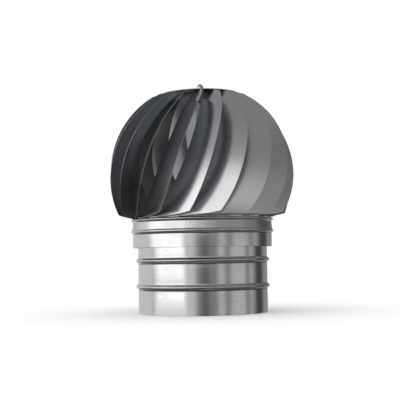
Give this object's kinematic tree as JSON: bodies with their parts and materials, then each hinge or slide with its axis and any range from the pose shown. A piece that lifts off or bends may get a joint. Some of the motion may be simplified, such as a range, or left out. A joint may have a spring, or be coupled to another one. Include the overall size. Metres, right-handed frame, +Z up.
{
  "type": "rotating chimney cowl",
  "caption": "Wind-driven chimney cowl: a globe of curved overlapping sheet vanes on a skirt, turning on a spindle and bearing above a beaded round neck.",
  "frame": {"origin": "middle of the neck's bottom edge, where the cowl sits on the flue", "axes": "+Z up along the spindle, -Y towards the viewer of the picture, +X to the viewer's right"},
  "size_m": [0.2152, 0.2154, 0.2682],
  "materials": {
    "collar_sheet": "bright rolled stainless sheet",
    "skirt_sheet": "bright rolled stainless sheet",
    "vane_sheet": "bright rolled stainless sheet, faint rolling grain",
    "disc_sheet": "bright rolled stainless sheet",
    "strap_steel": "dull pickled stainless strip",
    "spindle_steel": "turned bright bar",
    "zinc_fastener": "bright zinc plate",
    "bearing_steel": "ground and polished",
    "cage_brass": "pressed brass",
    "housing_steel": "turned satin",
    "rivet_aluminium": "dull rivet heads",
    "bush_nylon": "off-white nylon"
  },
  "bodies": {
    "base": {"neck": "collar_sheet", "upper_bridge": "strap_steel", "lower_bridge": "strap_steel", "spindle": "spindle_steel", "spindle_nuts": "zinc_fastener", "spindle_washers": "zinc_fastener", "bearing_inner_ring": "bearing_steel", "bearing_spacer": "spindle_steel", "top_washer": "zinc_fastener", "dome_nut": "zinc_fastener"},
    "rotor": {"skirt": "skirt_sheet", "vane_01": "vane_sheet", "vane_02": "vane_sheet", "vane_03": "vane_sheet", "vane_04": "vane_sheet", "vane_05": "vane_sheet", "vane_06": "vane_sheet", "vane_07": "vane_sheet", "vane_08": "vane_sheet", "vane_09": "vane_sheet", "vane_10": "vane_sheet", "vane_11": "vane_sheet", "vane_12": "vane_sheet", "vane_13": "vane_sheet", "vane_14": "vane_sheet", "vane_15": "vane_sheet", "vane_16": "vane_sheet", "vane_17": "vane_sheet", "vane_18": "vane_sheet", "top_disc": "disc_sheet", "bearing_housing": "housing_steel", "housing_rivets": "rivet_aluminium", "bearing_outer_ring": "bearing_steel", "bearing_balls": "bearing_steel", "bearing_cage": "cage_brass", "bearing_shields": "bearing_steel", "crossbar": "strap_steel", "guide_bush": "bush_nylon"}
  },
  "joints": [
    {"name": "rotor_spin", "type": "hinge", "parent": "base", "child": "rotor", "pos_m": [0, 0, 0.2], "axis": [0, 0, 1], "continuous": true}
  ]
}
